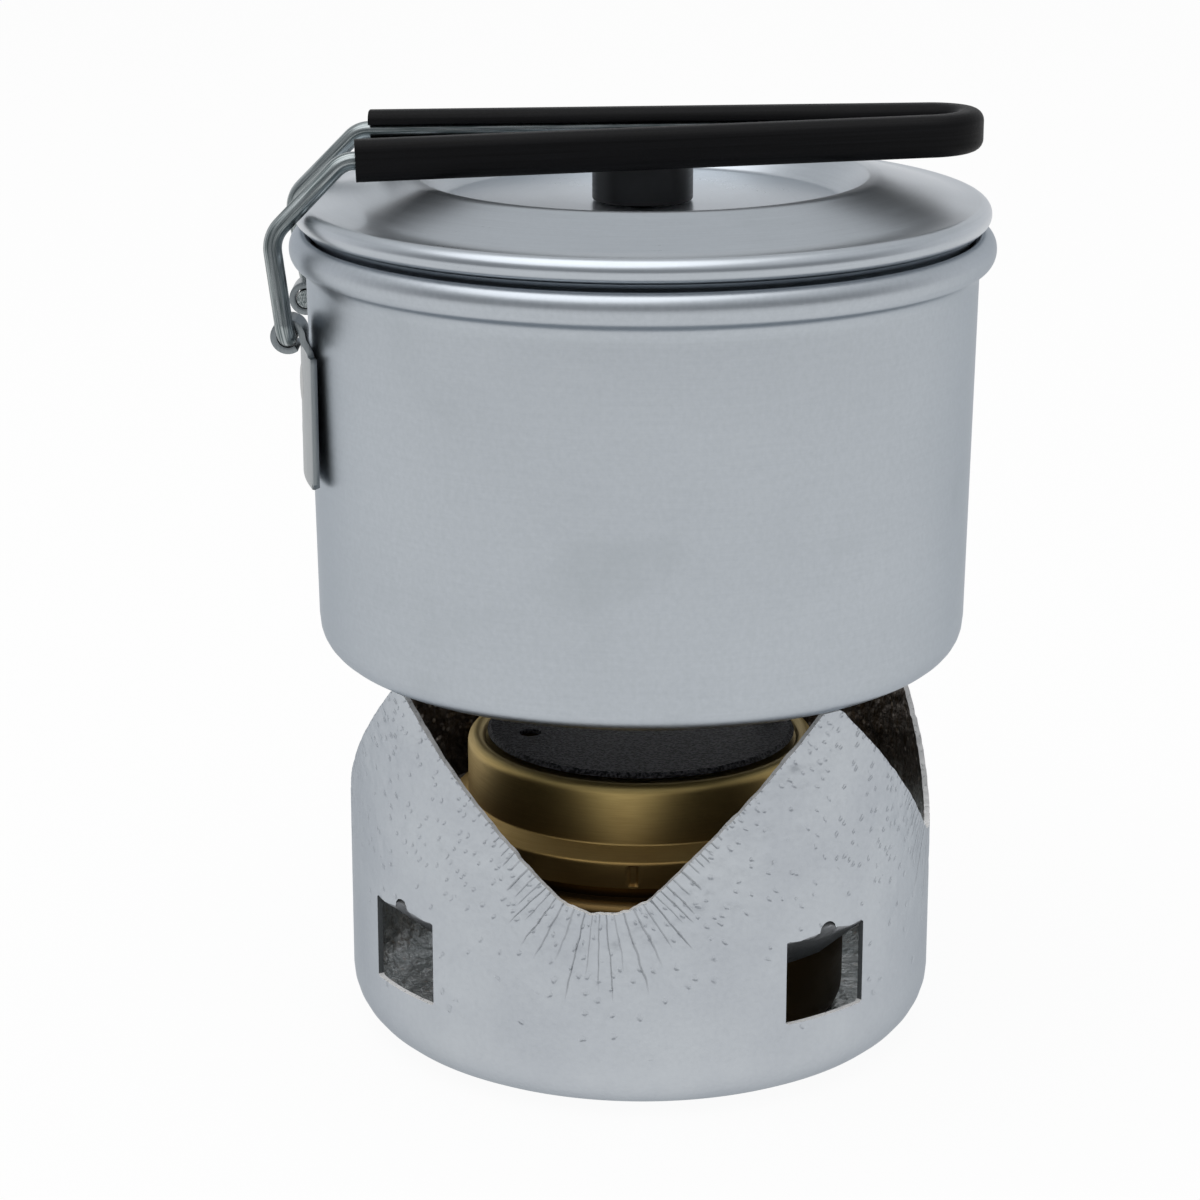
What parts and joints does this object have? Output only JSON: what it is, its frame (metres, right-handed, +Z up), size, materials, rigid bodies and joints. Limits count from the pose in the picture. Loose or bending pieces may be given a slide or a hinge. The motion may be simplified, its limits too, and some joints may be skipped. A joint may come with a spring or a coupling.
{
  "type": "storm cooker",
  "caption": "Spirit cooker: lidded pot with a folding wire handle, standing on a notched windshield that holds a brass burner with a simmer ring.",
  "frame": {"origin": "on the upright axis of the windshield, in the plane that it stands on", "axes": "+Z up; the handle is hinged on the -X side and folds over the lid towards +X; -Y is the side the picture shows"},
  "size_m": [0.126, 0.1234, 0.1667],
  "materials": {
    "spun_aluminium": "satin, faint turning marks",
    "drawn_aluminium": "satin, stretched and pitted by drawing",
    "galvanised_wire": "dull zinc, streaked",
    "stainless_sheet": "satin",
    "black_sleeve": "matt",
    "black_knob": "matt moulded",
    "satin_brass": "satin",
    "steel_hardware": "plated",
    "cotton_wick": "felted cotton",
    "black_coat": "fine textured black"
  },
  "bodies": {
    "windshield": {"windshield": "drawn_aluminium"},
    "pot": {"pot": "spun_aluminium", "handle_bracket": "stainless_sheet", "bracket_rivet_1": "steel_hardware", "bracket_rivet_2": "steel_hardware", "bracket_rivet_3": "steel_hardware"},
    "handle": {"handle_wire": "galvanised_wire", "handle_grip": "black_sleeve"},
    "lid": {"lid": "spun_aluminium", "lid_knob": "black_knob", "knob_insert": "satin_brass", "knob_screw": "steel_hardware", "knob_washer": "steel_hardware"},
    "burner": {"burner_tank": "satin_brass", "burner_crown": "satin_brass", "burner_inner_cup": "satin_brass", "burner_wick": "cotton_wick"},
    "simmer_ring": {"simmer_ring": "satin_brass", "shutter_rivet": "steel_hardware", "shutter_washer": "steel_hardware"},
    "shutter": {"simmer_shutter": "black_coat"}
  },
  "joints": [
    {"name": "pot_lift", "type": "slide", "parent": "windshield", "child": "pot", "axis": [0, 0, 1], "range_m": [0, 0.15]},
    {"name": "handle_swing", "type": "hinge", "parent": "pot", "child": "handle", "pos_m": [-0.06052, 0, 0.1302], "axis": [0, -1, 0], "range_deg": [0, 165]},
    {"name": "lid_lift", "type": "slide", "parent": "pot", "child": "lid", "axis": [0, 0, 1], "range_m": [0, 0.041]},
    {"name": "burner_lift", "type": "slide", "parent": "windshield", "child": "burner", "axis": [0, 0, 1], "range_m": [0, 0.076]},
    {"name": "ring_lift", "type": "slide", "parent": "burner", "child": "simmer_ring", "axis": [0, 0, 1], "range_m": [0, 0.031]},
    {"name": "shutter_swing", "type": "hinge", "parent": "simmer_ring", "child": "shutter", "pos_m": [0.02314, 0.00637, 0.0535], "axis": [0, 0, 1], "range_deg": [0, 55]}
  ],
  "couplings": [
    {"joint": "lid_lift", "follows": "handle_swing", "m_per_rad": 0.014},
    {"joint": "burner_lift", "follows": "pot_lift", "ratio": 0.5},
    {"joint": "ring_lift", "follows": "pot_lift", "ratio": 0.2}
  ]
}
